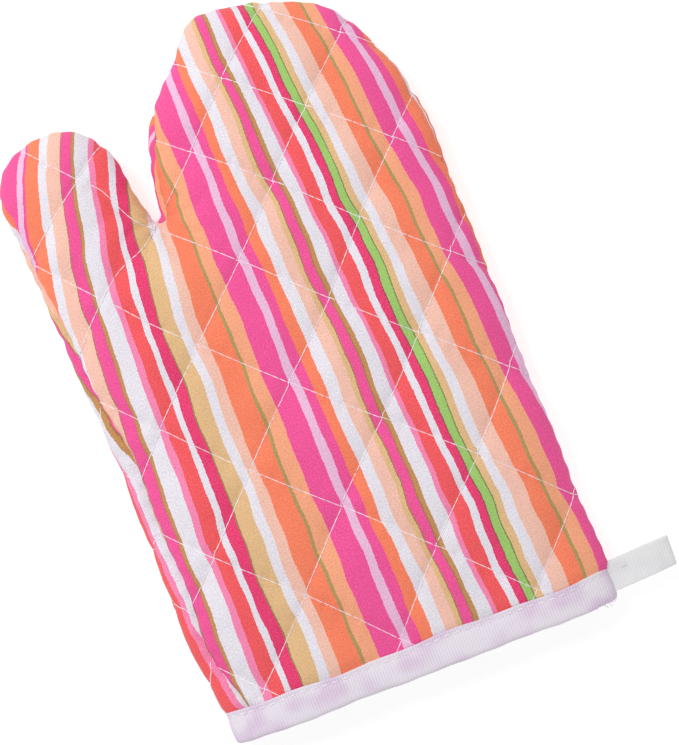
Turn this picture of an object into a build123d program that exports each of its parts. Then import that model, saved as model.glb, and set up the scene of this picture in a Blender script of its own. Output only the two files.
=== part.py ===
"""Quilted oven mitt with a thumb, a taped cuff and a hanging loop, in millimetres.

The mitt lies on its back panel. X runs across it towards the hanging loop, Y runs from the cuff
to the fingertips and Z is its thickness. The origin is the middle of the base of its box.

Front and back are each a quilt of three layers: printed shell, wadding and lining. A real panel
is one piece. Here it is parted at the two lines where a hand folds the mitt, so that the thumb
and the fingers turn as bodies of their own.
"""
from build123d import *
from math import atan2, cos, degrees, sin
import os

# Overall sizes
palm_length = 207.0  # cuff edge to the corner between thumb and hand
finger_length = 73.0  # that corner to the fingertips
thumb_length = 50.0  # that corner to the thumb's tip
thumb_width = 50.0  # across the thumb near its tip
thumb_splay = 6.0  # the thumb's inner edge at its tip, out from the corner's line
hand_side = 120.5  # the corner's line to the loop side of the cuff
thumb_side = 47.5  # the corner's line to the thumb side of the palm
thickness = 24.0  # lying flat, front to back

# Layers of the quilt, from the outside in
shell_wall = 0.6
wadding_wall = 3.8
lining_wall = 0.6
edge_round = 9.0  # where the quilt turns into the side seam
crotch_round = 1.2
thread_wall = 0.35  # sewing thread, let into the cloth by its own thickness
thread_width = 0.6

# Rounds of the outline
heel_round = 110.0  # loop side of the hand, below the little finger
little_finger_round = 38.0
ring_finger_round = 60.0
middle_finger_round = 12.0
index_finger_round = 50.0
thumb_tip_round = 24.0
palm_round = 220.0

# Quilting, a diamond grid sewn through the layers
diamond_width = 55.0
diamond_height = 49.0
quilt_x = 33.0  # one crossing, from the corner's line
quilt_y = 18.0  # and from the cuff edge

# Seam allowance inside the cavity, with its overlock thread
allowance_width = 2.4
allowance_wall = 1.6

# Cuff binding and hanging loop, both of the same tape
tape_wall = 0.8
binding_depth = 13.5
inner_leaf_depth = 12.0
hem = 1.0  # tape under the raw edge of the quilt
topstitch_inset = 2.0  # below the tape's upper edge
loop_width = 11.5
loop_reach = 24.5
loop_gap = 6.4  # widest opening between the loop's two leaves
loop_root = 5.0  # sewn length, where the two leaves lie together
loop_base = 2.2  # cuff edge to the loop's lower edge
loop_clearance = 1.4  # side seam to the loop's sewn root, room for it to flop

# Folds
thumb_fold_drop = 82.0  # the thumb's fold line falls by this much over the thumb's side
knuckle_above = 7.0  # knuckle fold line above the corner
fold_gap = 0.5

# Worked out from the sizes above
tip = palm_length + finger_length
thumb_tip = palm_length + thumb_length
inner_face = shell_wall + wadding_wall + lining_wall
mouth_face = inner_face + tape_wall
seam_z = thickness / 2
knuckle_y = palm_length + knuckle_above
cuff_run = 30.0  # the blanks run on below the cuff before they are trimmed
far = 2 * (tip + hand_side)

outline = [
    (hand_side - 1.8, tip - 63, heel_round),
    (hand_side - 21.2, tip - 15, little_finger_round),
    (hand_side - 56.2, tip, ring_finger_round),
    (hand_side - 75.5, tip, middle_finger_round),
    (10.0, tip - 35.4, index_finger_round),
    (0.0, palm_length - 2, crotch_round),
    (-thumb_splay, thumb_tip, thumb_tip_round),
    (-thumb_splay - thumb_width, thumb_tip, thumb_tip_round),
    (-thumb_side, 0.58 * palm_length, palm_round),
    (-thumb_side, 0.22 * palm_length, palm_round),
]
outline_start = (hand_side, -cuff_run)
outline_finish = (4.0 - thumb_side, -cuff_run)


# --- blanks: the whole mitt's body at each inset, before it is trimmed and parted ---
def pillow(inset):
    """A flat-lying body with rounded sides, inset on every side from the mitt's outer face."""
    with BuildPart() as body:
        with BuildSketch(Plane.XY.offset(inset)):
            with BuildLine():
                points = [outline_start] + [(x, y) for x, y, _ in outline] + [outline_finish]
                FilletPolyline(*points, radius=[r for _, _, r in outline])
                Line(outline_finish, outline_start)
            make_face()
            if inset:
                offset(amount=-inset, kind=Kind.ARC)
        extrude(amount=thickness - 2 * inset)
        bottom = body.edges().group_by(Axis.Z)[0]
        top = body.edges().group_by(Axis.Z)[-1]
        rims = [e for e in bottom + top if e.center().Y > inset + 1 - cuff_run]
        fillet(rims, radius=edge_round - inset)
    return body.part


skin_under_tape = tape_wall + shell_wall
quilt_core = shell_wall + wadding_wall
allowance_face = inner_face + allowance_width
insets = [0, thread_wall, shell_wall, tape_wall, skin_under_tape, quilt_core]
insets += [inner_face, mouth_face, allowance_face, allowance_face + thread_wall]
blanks = {inset: pillow(inset) for inset in insets}


def layer(outer, inner, y_from, y_to, z_from=0, z_to=thickness):
    """What lies between two insets, over one stretch of the mitt's length and thickness."""
    with BuildPart() as sheet:
        add(blanks[outer])
        add(blanks[inner], mode=Mode.SUBTRACT)
        with Locations((0, y_from, z_from)):
            Box(far, y_to - y_from, z_to - z_from,
                align=(Align.CENTER, Align.MIN, Align.MIN), mode=Mode.INTERSECT)
    return sheet.part


# --- zones: the three bodies of the mitt, parted at its fold lines, and its two faces ---
fold_angle = atan2(thumb_fold_drop, thumb_side)
fold_along = (cos(fold_angle), sin(fold_angle))
fold_out = (-sin(fold_angle), cos(fold_angle))
half_gap = fold_gap / 2


def on_fold(along, out):
    """A point beside the thumb's fold line, which starts at the corner."""
    x = along * fold_along[0] + out * fold_out[0]
    y = palm_length + along * fold_along[1] + out * fold_out[1]
    return (x, y)


corner_step = half_gap * (1 + cos(fold_angle)) / sin(fold_angle)
zone_outlines = {
    "hand": [
        (far, -cuff_run),
        (far, knuckle_y - half_gap),
        (half_gap, knuckle_y - half_gap),
        (half_gap, palm_length + corner_step - fold_gap),
        on_fold(-far, -half_gap),
        (-far, -cuff_run - far),
    ],
    "thumb": [
        (-half_gap, palm_length + corner_step),
        (-half_gap, far),
        (-far, far),
        on_fold(-far, half_gap),
    ],
    "fingers": [
        (half_gap, knuckle_y + half_gap),
        (far, knuckle_y + half_gap),
        (far, far),
        (half_gap, far),
    ],
}
faces = {"front": (seam_z, thickness), "back": (0, seam_z)}


def zone(name):
    """A tall prism over one body's part of the plan."""
    with BuildPart() as prism:
        with BuildSketch():
            with BuildLine():
                Polyline(*zone_outlines[name], close=True)
            make_face()
        extrude(amount=thickness)
    return prism.part


zones = {name: zone(name) for name in zone_outlines}


def quilting_grid(shift):
    """Upright bars, one thread wide, along the lines of the diamond grid."""
    slope = degrees(atan2(diamond_height, diamond_width))
    count = int(far / diamond_width / 2)
    crossings = [(quilt_x + shift + step * diamond_width, quilt_y) for step in range(-count, count)]
    with BuildPart() as grid:
        with BuildSketch():
            with Locations(*crossings):
                Rectangle(far, thread_width, rotation=slope)
                Rectangle(far, thread_width, rotation=-slope)
        extrude(amount=thickness)
    return grid.part


# --- pieces ---
os.makedirs("parts", exist_ok=True)
loop_start = hand_side + loop_clearance
loop_end = loop_start + loop_reach
mid_x = (loop_end + blanks[0].bounding_box().min.X) / 2
to_row = Location((-mid_x, -tip / 2, 0))


def write(name, solid):
    """One named piece, moved from the pattern's place to the row's frame."""
    with BuildPart() as piece:
        add(solid.moved(to_row))
    piece.part.label = name
    export_step(piece.part, f"parts/{name}.step")


stepped = binding_depth + skin_under_tape  # top of the step where the quilt leaves the tape
above = (stepped, far)
under = (hem, stepped)
panel_layers = {
    "shell": layer(0, shell_wall, binding_depth, far)
    + layer(tape_wall, skin_under_tape, *under)
    + layer(0, skin_under_tape, binding_depth, stepped),
    "wadding": layer(shell_wall, quilt_core, *above) + layer(skin_under_tape, quilt_core, *under),
    "lining": layer(quilt_core, inner_face, hem, far),
}
quilting = layer(0, thread_wall, stepped, far)
for face, (z_from, z_to) in faces.items():
    grid = quilting_grid(0 if face == "front" else diamond_width / 4)
    for body, prism in zones.items():
        with BuildPart() as block:
            add(prism)
            with Locations((0, 0, z_from)):
                Box(3 * far, 3 * far, z_to - z_from,
                    align=(Align.CENTER, Align.CENTER, Align.MIN), mode=Mode.INTERSECT)
        with BuildPart() as threads:
            add(quilting)
            add(block.part, mode=Mode.INTERSECT)
            add(grid, mode=Mode.INTERSECT)
        write(f"{body}_{face}_quilting", threads.part)
        for kind, whole in panel_layers.items():
            with BuildPart() as panel:
                add(whole)
                add(block.part, mode=Mode.INTERSECT)
                if kind == "shell":
                    add(threads.part, mode=Mode.SUBTRACT)
            write(f"{body}_{face}_{kind}", panel.part)

# The seam allowance stands into the cavity all round, and its raw edge is overlocked.
allowance = layer(inner_face, allowance_face, binding_depth, far,
                  seam_z - allowance_wall / 2, seam_z + allowance_wall / 2)
overlock = layer(allowance_face, allowance_face + thread_wall, binding_depth, far,
                 seam_z - allowance_wall / 2, seam_z + allowance_wall / 2)
for body, prism in zones.items():
    for kind, whole in {"seam_allowance": allowance, "seam_overlock": overlock}.items():
        with BuildPart() as strip:
            add(whole)
            add(prism, mode=Mode.INTERSECT)
        write(f"{body}_{kind}", strip.part)

# The tape is folded over the raw edge of the cuff, with one row of stitches near its top.
stitch_y = binding_depth - topstitch_inset
topstitch = layer(0, thread_wall, stitch_y - thread_width, stitch_y)
with BuildPart() as binding:
    add(layer(0, tape_wall, 0, binding_depth))
    add(layer(0, mouth_face, 0, hem))
    add(layer(inner_face, mouth_face, 0, inner_leaf_depth))
    add(topstitch, mode=Mode.SUBTRACT)
write("cuff_binding", binding.part)
write("cuff_topstitch", topstitch)


# The hanging loop is a doubled length of the same tape, open where it stands free.
def teardrop(half_height, root_x):
    """The edge of one side of the tape, from its flat root round the loop's far end and back."""
    flat = half_height - loop_gap / 2
    crown_x = loop_end - tape_wall + flat - half_height
    pull = (crown_x - root_x) / 2
    curve = Bezier((root_x, flat), (root_x + pull, flat), (crown_x - pull, half_height),
                   (crown_x, half_height))
    RadiusArc((crown_x, half_height), (crown_x, -half_height), half_height)
    mirror(curve, about=Plane.XZ)
    return curve, flat


loop_top = (0, loop_base + loop_width, seam_z)
with BuildPart() as loop:
    with BuildSketch(Plane(origin=loop_top, x_dir=(1, 0, 0), z_dir=(0, -1, 0))):
        with BuildLine():
            leaf_curve, flat = teardrop(loop_gap / 2 + tape_wall, loop_start + loop_root)
            upper, lower = leaf_curve @ 0, leaf_curve @ 0 - (0, 2 * flat)
            Polyline(upper, (loop_start, flat), (loop_start, -flat), lower)
        make_face()
        with BuildLine():
            teardrop(loop_gap / 2, loop_start + loop_root)
        make_face(mode=Mode.SUBTRACT)
    extrude(amount=loop_width)
write("hanging_loop", loop.part)

with BuildPart() as tack:
    with Locations((loop_start + loop_root / 2, stitch_y, seam_z + tape_wall)):
        Box(loop_root - 1, thread_width, thread_wall,
            align=(Align.CENTER, Align.MAX, Align.MIN))
write("loop_stitching", tack.part)
print("pattern origin in the row frame:", -mid_x, -tip / 2)
print("box across:", loop_end - mid_x, "thumb fold direction:", fold_along)
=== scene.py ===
# %% [markdown]
# # A quilted oven mitt, lying flat
# The mitt is two quilted cotton panels sewn together round their edge, with a white tape over
# the raw edge of the cuff and a loop of the same tape to hang it by. This lesson builds the
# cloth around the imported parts, which hold the sizes and the folding bodies, and then lights
# it like a plain product picture.

import math

import bmesh
import bpy
import numpy as np
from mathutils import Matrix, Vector, geometry, kdtree
from mathutils.bvhtree import BVHTree


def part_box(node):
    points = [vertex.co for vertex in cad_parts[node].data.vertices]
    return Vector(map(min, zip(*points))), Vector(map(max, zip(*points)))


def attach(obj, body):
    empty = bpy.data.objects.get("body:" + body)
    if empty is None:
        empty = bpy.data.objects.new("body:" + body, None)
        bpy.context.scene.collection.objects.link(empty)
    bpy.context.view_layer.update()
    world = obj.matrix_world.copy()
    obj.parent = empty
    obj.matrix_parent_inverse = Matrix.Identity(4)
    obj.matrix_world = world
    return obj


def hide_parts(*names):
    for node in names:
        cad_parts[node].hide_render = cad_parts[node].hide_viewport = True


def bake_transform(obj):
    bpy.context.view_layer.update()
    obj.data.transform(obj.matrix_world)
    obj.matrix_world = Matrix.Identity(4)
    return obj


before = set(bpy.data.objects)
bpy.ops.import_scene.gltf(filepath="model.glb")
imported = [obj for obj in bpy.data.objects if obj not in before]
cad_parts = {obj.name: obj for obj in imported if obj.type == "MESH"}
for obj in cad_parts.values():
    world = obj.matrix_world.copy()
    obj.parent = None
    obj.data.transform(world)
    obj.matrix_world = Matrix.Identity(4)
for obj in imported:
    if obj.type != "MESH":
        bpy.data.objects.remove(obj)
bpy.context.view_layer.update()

# %% [markdown]
# ## Working in the pattern's own millimetres
# A mitt is drafted flat on paper. Its pattern is easiest to read when y runs up from the cuff
# edge and x runs from the corner between thumb and hand, so everything is worked out there and
# moved into the frame at the end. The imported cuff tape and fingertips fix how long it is.

# %% From pattern to frame
corner_x = -45.97  # the corner between thumb and hand, in the frame's millimetres
cuff_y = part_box("cuff_binding")[0].y * 1000
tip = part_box("fingers_front_shell")[1].y * 1000 - cuff_y
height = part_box("cuff_binding")[1].z * 1000
print(f"mitt length {tip:.1f} mm, thickness {height:.1f} mm")


def to_frame(points):
    """Pattern millimetres to the frame's metres."""
    return (np.asarray(points, float) + (corner_x, cuff_y, 0)) / 1000


def smooth(t):
    """0 to 1 with an easy start and end."""
    t = np.clip(t, 0, 1)
    return t * t * (3 - 2 * t)


def ripple(x, y, wavelength, seed):
    """A gentle random swell, between about -1 and 1, made of seven crossed waves."""
    random = np.random.default_rng(seed)
    total = 0
    for _ in range(7):
        angle, phase = random.uniform(0, 2 * np.pi, 2)
        k = 2 * np.pi / wavelength * random.uniform(0.6, 1.3)
        total = total + np.sin(k * (x * np.cos(angle) + y * np.sin(angle)) + phase)
    return total / 3.2


# %% [markdown]
# ## The outline
# The panels are cut along straight runs joined by rounds, so the outline is a short list of
# corners with a radius for each. Points are laid closely enough on every round for the cloth
# to turn it smoothly, which matters most at the tight corner between thumb and hand.

# %% Outline of the panels
hand_side = 120.3  # the straight side away from the thumb
cut_edge = 1.7  # the quilt is cut this far above the tape's fold
palm, thumb_tip = tip - 73, tip - 23
notch_x, notch_y = 2.4, palm + 3  # the bottom of the corner between thumb and hand
corners = [  # x, y and the radius of the round there
    (hand_side + 0.9, cut_edge, 0),
    (hand_side - 1.3, 95, 400),
    (hand_side - 2.1, tip - 56, 100),
    (hand_side - 21.0, tip - 15, 38),
    (hand_side - 56.0, tip, 60),
    (hand_side - 78.3, tip, 12),
    (10.0, tip - 35.4, 50),
    (3.6, palm + 11, 30),
    (2.6, palm - 0.5, 1.2),
    (-3.9, palm + 15, 25),
    (-7.5, thumb_tip, 24),
    (-56.6, thumb_tip, 21.5),
    (-48.3, 0.58 * palm, 220),
    (-48.3, 0.22 * palm, 220),
    (-43.6, cut_edge, 0),
]


def rounded_path(points, step=1.3, turn=math.radians(9)):
    """Straight runs and tangent rounds, as closely spaced points."""
    path = [np.array(points[0][:2], float)]

    def run_to(end):
        """Add a straight run to the path."""
        begin = path[-1]
        count = max(1, round(np.linalg.norm(end - begin) / step))
        path.extend(begin + (end - begin) * k / count for k in range(1, count + 1))

    for before, here, after in zip(points, points[1:], points[2:]):
        p0, p1, p2 = (np.array(p[:2], float) for p in (before, here, after))
        a, b = (p1 - p0) / np.linalg.norm(p1 - p0), (p2 - p1) / np.linalg.norm(p2 - p1)
        angle = math.atan2(a[0] * b[1] - a[1] * b[0], a @ b)
        radius = here[2]
        run_to(p1 - a * radius * math.tan(abs(angle) / 2))
        centre = path[-1] + radius * math.copysign(1, angle) * np.array([-a[1], a[0]])
        count = max(2, math.ceil(abs(angle) / min(turn, step / radius)))
        spoke = path[-1] - centre
        for k in range(1, count + 1):
            c, s = math.cos(angle * k / count), math.sin(angle * k / count)
            path.append(centre + (spoke[0] * c - spoke[1] * s, spoke[0] * s + spoke[1] * c))
    run_to(np.array(points[-1][:2], float))
    return np.array(path)


edge = rounded_path(corners)
along_edge = np.concatenate([[0], np.cumsum(np.linalg.norm(np.diff(edge, axis=0), axis=1))])
tangent = np.gradient(edge, axis=0)
tangent /= np.linalg.norm(tangent, axis=1)[:, None]
inward = np.stack([-tangent[:, 1], tangent[:, 0]], axis=1)
inward[0], inward[-1] = (-1, 0), (1, 0)
print(f"outline: {len(edge)} points, {along_edge[-1]:.0f} mm round")

edge_tree = kdtree.KDTree(len(edge))
for k, (x, y) in enumerate(edge):
    edge_tree.insert((x, y, 0), k)
edge_tree.balance()


def to_edge(x, y):
    """Each point's distance to the outline, and the outline point nearest to it."""
    found = [edge_tree.find((a, b, 0)) for a, b in zip(x, y)]
    return np.array([f[2] for f in found]), np.array([f[1] for f in found], int)


def inside(polygon, x, y):
    """Whether points lie inside a closed polygon, by counting edges crossed."""
    crossed = np.zeros(len(x), bool)
    for (x0, y0), (x1, y1) in zip(polygon, np.roll(polygon, -1, axis=0)):
        if y0 == y1:
            continue
        between = (y0 > y) != (y1 > y)
        crossed ^= between & (x < (x1 - x0) * (y - y0) / (y1 - y0) + x0)
    return crossed


# %% [markdown]
# ## Quilting lines
# A quilting machine sews the layers together in a grid of diamonds before the panels are cut.
# The cloth feeds a little tighter towards the fingertips here, so the rows of crossings close
# up. Both families of lines are the whole numbers of two lattice values, p and q, and the same
# two values give every point of the panel its distance to the nearest line of stitches.

# %% The diamond lattice
row_height, row_closing = 29.6, 0.39  # first row's height, and what each next row loses
diamond_width, width_closing = 58.4, 0.95  # and the same for a diamond's width
first_row, first_crossing, crossing_lean = 17.5, 32.5, -1.15
back_shift = 14.0  # the back panel was cut from another stretch of the same quilt
lattice_step = 26.0  # a whole step of p or q, in the units of the three widths below
groove_depth, groove_width = 0.7, 1.3  # the crease right at the thread
hollow_depth, hollow_width = 1.5, 13.5  # the slow fall from the middle of a diamond
gather_depth, gather_width = 0.18, 3.5  # small gathers beside the thread
gathers = 6.175  # how many of them from one crossing to the next


def wander(x, y):
    """How far a line strays from true, as the layers creep and the thumb piece turns."""
    turn = smooth((-5 - x) / 16) * smooth((y - 140) / 40)
    across = 0.9 * np.sin(x / 21 + y / 34 + 1) + turn * 0.148 * (y - 194.5)
    return across, 0.8 * np.sin(y / 23 - x / 40) + turn * (5 + 0.037 * (y - 183))


def lattice_place(p, q, face):
    """Pattern x and y of lattice values p and q."""
    i, j = (p + q) / 2, q - p
    y = first_row + row_height * j - row_closing * j * j
    x = first_crossing + crossing_lean * j + i * (diamond_width - width_closing * j)
    if face == "back":
        x = x - back_shift
    stray_x, stray_y = wander(x, y)
    return x + stray_x, y + stray_y


def lattice_values(x, y, face):
    """Lattice values p and q of pattern points."""
    stray_x, stray_y = wander(x, y)
    for _ in range(5):
        stray_x, stray_y = wander(x - stray_x, y - stray_y)
    x, y = x - stray_x, y - stray_y
    if face == "back":
        x = x + back_shift
    root = np.sqrt(row_height**2 - 4 * row_closing * (y - first_row))
    j = (row_height - root) / (2 * row_closing)
    i = (x - first_crossing - crossing_lean * j) / (diamond_width - width_closing * j)
    return i - j / 2, i + j / 2


def stitch_valley(x, y, face):
    """How deep the stitches pull the cloth in at a point, in millimetres."""
    p, q = lattice_values(x, y, face)
    depths = []
    for value, other in ((p, q), (q, p)):
        t = np.abs(value - np.round(value)) * lattice_step
        groove = groove_depth * np.exp(-t / groove_width)
        hollow = hollow_depth * (1 - np.minimum(t / hollow_width, 1)) ** 2.3
        gather = gather_depth * np.sin(2 * np.pi * gathers * other) * np.exp(-t / gather_width)
        depths.append(np.maximum(groove + hollow + gather, 0))
    return (depths[0] ** 3 + depths[1] ** 3) ** (1 / 3)


first_crossings = [round(lattice_place(i, i, "front")[0]) for i in (-1, 0, 1)]
print("crossings in the first row, mm:", first_crossings)

# %% [markdown]
# ## How the section swells
# Lying down, the mitt is nearly flat underneath, turns round at its side and swells towards the
# middle. A power curve does that, with a reach of its own for each face. The side seam doesn't
# sit at the widest line everywhere: on the thumb side the back panel rolls round to the front.

# %% Section of the mitt
widest = 9.0  # height of the widest line above the table
front_reach, back_reach = 36.0, 15.0  # how far in from the outline each face goes on turning
front_power, back_power = 2.3, 2.4  # a higher power turns later and more sharply
underside = 0.3  # height of the back above the table
cuff_low, fingers_low = 4.2, 1.2  # how much lower the front lies at the cuff and the fingertips
rim = 10.5  # plan width of the strip of rings along the outline
table_reach = 14  # plan width that the section's table of lengths covers
tape_depth = 13.3


def squeeze(y):
    """1 where the tape squeezes the quilt, 0 above it."""
    return 1 - smooth((y - tape_depth + 1) / 4.5)


def crown(x, y):
    """Height of the front over the table, before the stitches pull it in."""
    low = cuff_low * (1 - smooth(y / 75)) + fingers_low * smooth((y - palm) / 60)
    return 0.98 * height - low + 0.5 * ripple(x, y, 62, 5) + 0.28 * ripple(x, y, 23, 8)


def swell(d, reach, power):
    """0 at the outline, and 1 from the reach inwards."""
    return np.sqrt(1 - (1 - np.clip(d / reach, 0, 1)) ** power)


def base_height(x, y, tau):
    """Height of the cloth: tau is the plan distance to the outline, negative underneath."""
    d = np.abs(tau)
    front = widest + (crown(x, y) - widest) * swell(d, front_reach, front_power)
    lift = 0.5 * (1 + ripple(x, y, 44, 12)) * smooth((d - 4) / 12)
    back = widest - (widest - underside) * swell(d, back_reach, back_power) + lift
    return np.where(tau >= 0, front, back)


steps = np.linspace(-1, 1, 801)
tau_table = np.sign(steps) * steps ** 2 * table_reach
rise = np.where(
    tau_table >= 0,
    (0.9 * height - widest) * swell(np.abs(tau_table), front_reach, front_power),
    -(widest - underside) * swell(np.abs(tau_table), back_reach, back_power),
)
arc_table = np.concatenate([[0], np.cumsum(np.hypot(np.diff(tau_table), np.diff(rise)))])
arc_table -= np.interp(0, tau_table, arc_table)


def seam_lead(k):
    """Unit directions straight into the quilt from the side seam."""
    slope = np.interp(seam_inset[k], tau_table[1:], np.diff(rise) / np.diff(tau_table))
    flat = np.column_stack([inward[k] * slope[:, None], -np.ones(len(k))])
    return flat / np.linalg.norm(flat, axis=1)[:, None]


def arc_at(tau):
    """Cloth length round the section from the widest line, below it counted as negative."""
    beyond = np.maximum(np.abs(tau) - table_reach, 0) * np.sign(tau)
    return np.interp(tau, tau_table, arc_table) + beyond


# %% [markdown]
# ## Where the side seam runs
# The seam's place is given by how far inside the outline it lies when seen from above, with a
# minus sign where it hides underneath. On the thumb side the roll widens towards the cuff; at
# the index finger about two millimetres of the back show, and elsewhere it keeps to the edge.

# %% Side seam
ex, ey = edge.T
roll_least, roll_widening, roll_at_cuff = 1.4, 4.9, 2.6
roll_wave = 1.0  # the roll is not quite even
shown_at_finger, hidden_elsewhere, hidden_by_loop = 1.9, -0.15, -0.6
easing_rounds = 14  # times that each place is eased into the next
left_side = (ex < -40) & (ey < thumb_tip - 24)
roll = roll_least + roll_widening * smooth((200 - ey) / 110)
roll = roll + roll_wave * np.sin(ey / 9.2 + 0.6)
roll = roll + roll_at_cuff * smooth((38 - ey) / 26)
seam_inset = np.where(left_side, roll, hidden_elsewhere)
index_side = (ex > notch_x) & (ex < 20) & (ey > palm + 2) & (ey < palm + 40)
seam_inset = np.where(index_side, shown_at_finger, seam_inset)
loop_side = (ex > hand_side - 12) & (ey < tip - 40)
on_loop_side = hidden_by_loop + 0.7 * smooth((ey - 120) / 30) * smooth((236 - ey) / 20)
seam_inset = np.where(loop_side, on_loop_side, seam_inset)
for _ in range(easing_rounds):
    middle = (seam_inset[:-2] + seam_inset[1:-1] + seam_inset[2:]) / 3
    seam_inset = np.concatenate([[seam_inset[0]], middle, [seam_inset[-1]]])
print(f"side seam lies from {seam_inset.min():.1f} to {seam_inset.max():.1f} mm inside the outline")


def vertex_normals(points, triangles):
    """Unit normals of the points, each triangle counted by its area."""
    places = points[triangles]
    flat = np.cross(places[:, 1] - places[:, 0], places[:, 2] - places[:, 0])
    normals = np.zeros_like(points)
    for k in range(3):
        np.add.at(normals, triangles[:, k], flat)
    return normals / np.maximum(np.linalg.norm(normals, axis=1), 1e-12)[:, None]


fan_depth, fan_reach, fan_creases = 2.4, 17, 9  # creases in a full turn


def crease_fan(x, y):
    """Creases that run out from the corner between thumb and hand, into the palm."""
    dx, dy = x - notch_x, y - notch_y
    far, angle = np.hypot(dx, dy), np.arctan2(dy, dx)
    fade = np.exp(-far / fan_reach) * smooth((far - 1) / 4)
    crease = np.abs(np.sin(fan_creases / 2 * angle + 0.9 * np.sin(far / 6)))
    return fan_depth * fade * (0.6 - crease ** 0.6)


# %% [markdown]
# ## One panel's surface
# Rings of points follow the outline from the seam round to the face, where the cloth curves
# most, and a Delaunay triangulation fills the rest with even cells. The whole panel is then
# pulled in along its own normals: by the side seam, by every line of quilting and by the tape.
# A grid cut by a boolean would leave ragged triangles just where the cloth turns.

# %% Flat panel, as a mesh
ring_steps = np.array([0, 0.035, 0.08, 0.13, 0.19, 0.26, 0.34, 0.43, 0.52, 0.62, 0.74, 0.87, 1])
let_out, notch_reach = 0.95, 9  # the plan is let out by what the seam pulls in, but for the notch


def flat_panel(face, cell, first_ring):
    """Plan places, distances to the outline, nearest outline points and triangles."""
    sign = 1 if face == "front" else -1
    start, end = arc_at(seam_inset), arc_at(np.full(len(edge), sign * rim))
    rings = [
        np.interp(start + (end - start) * f, arc_table, tau_table) for f in ring_steps[first_ring:]
    ]
    rings[-1][:] = sign * rim
    tau = np.concatenate(rings)
    count, layers = len(edge), len(rings)
    nearest = np.tile(np.arange(count), layers)
    plan = np.tile(edge, (layers, 1)) + np.tile(inward, (layers, 1)) * np.abs(tau)[:, None]
    quads = [
        (k * count + i, k * count + i + 1, (k + 1) * count + i + 1, (k + 1) * count + i)
        for k in range(layers - 1)
        for i in range(count - 1)
    ]
    triangles = [t for a, b, c, d in quads for t in ((a, b, c), (a, c, d))]

    last = (layers - 1) * count
    left_x, right_x = plan[-1, 0], plan[last, 0]
    hem_count = round((right_x - left_x) / cell)
    hem_x = left_x + (right_x - left_x) * np.arange(1, hem_count) / hem_count
    hem = np.column_stack([hem_x, np.full(len(hem_x), cut_edge)])
    border = np.vstack([plan[last:], hem])
    columns, lines = np.arange(-110, 130, cell), np.arange(cut_edge + cell * 0.7, tip, cell * 0.87)
    gx, gy = np.meshgrid(columns, lines)
    gx = gx + (np.arange(len(gx)) % 2 * cell / 2)[:, None]
    gx, gy = gx.ravel(), gy.ravel()
    keep = inside(edge, gx, gy)
    gx, gy = gx[keep], gy[keep]
    d, _ = to_edge(gx, gy)
    keep = d > rim + 0.55 * cell
    fill = np.column_stack([gx[keep], gy[keep]])
    flat_points = [Vector(p) for p in np.vstack([border, fill])]
    out = geometry.delaunay_2d_cdt(flat_points, [], [list(range(len(border)))], 1, 1e-5)
    source = [ids[0] for ids in out[3]]
    numbers = np.empty(len(border) + len(fill), int)
    numbers[:count] = last + np.arange(count)
    numbers[count:] = len(plan) + np.arange(len(hem) + len(fill))
    triangles += [tuple(numbers[source[v]] for v in f) for f in out[2]]
    inner = np.vstack([hem, fill])
    inner_d, inner_nearest = to_edge(inner[:, 0], inner[:, 1])
    inner_d = np.maximum(inner_d, rim)
    plan = np.vstack([plan, inner])
    tau = np.concatenate([tau, sign * inner_d])
    nearest = np.concatenate([nearest, inner_nearest])
    from_notch = np.hypot(plan[:, 0] - notch_x, plan[:, 1] - notch_y)
    made_up = let_out * (1 - np.exp(-((from_notch / notch_reach) ** 2)))
    made_up = made_up * (1 - smooth(np.abs(tau) / rim)) * smooth((plan[:, 1] - 8) / 8)
    plan = plan - inward[nearest] * made_up[:, None]
    triangles = np.array(triangles)
    if face == "back":
        triangles = triangles[:, ::-1]
    return plan, tau, nearest, triangles


# %% Panel, pulled in by its stitches
seam_left, seam_elsewhere, seam_width = 1.9, 1.35, 1.4  # the seam's groove: depths, and width
sag_depth, sag_width = 0.5, 4.5  # the wider hollow on both sides of it
ease_depth, ease_length = 0.3, 8.1  # waves where one panel was eased into the other
quilt_on_roll, quilt_on_back, quilt_in_tape = 0.6, 0.85, 0.15  # share of the quilting's depth
tape_bite = 1.1  # how far the tape presses the quilt in
lowest = 0.25  # no point of the shell comes nearer to the table


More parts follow.
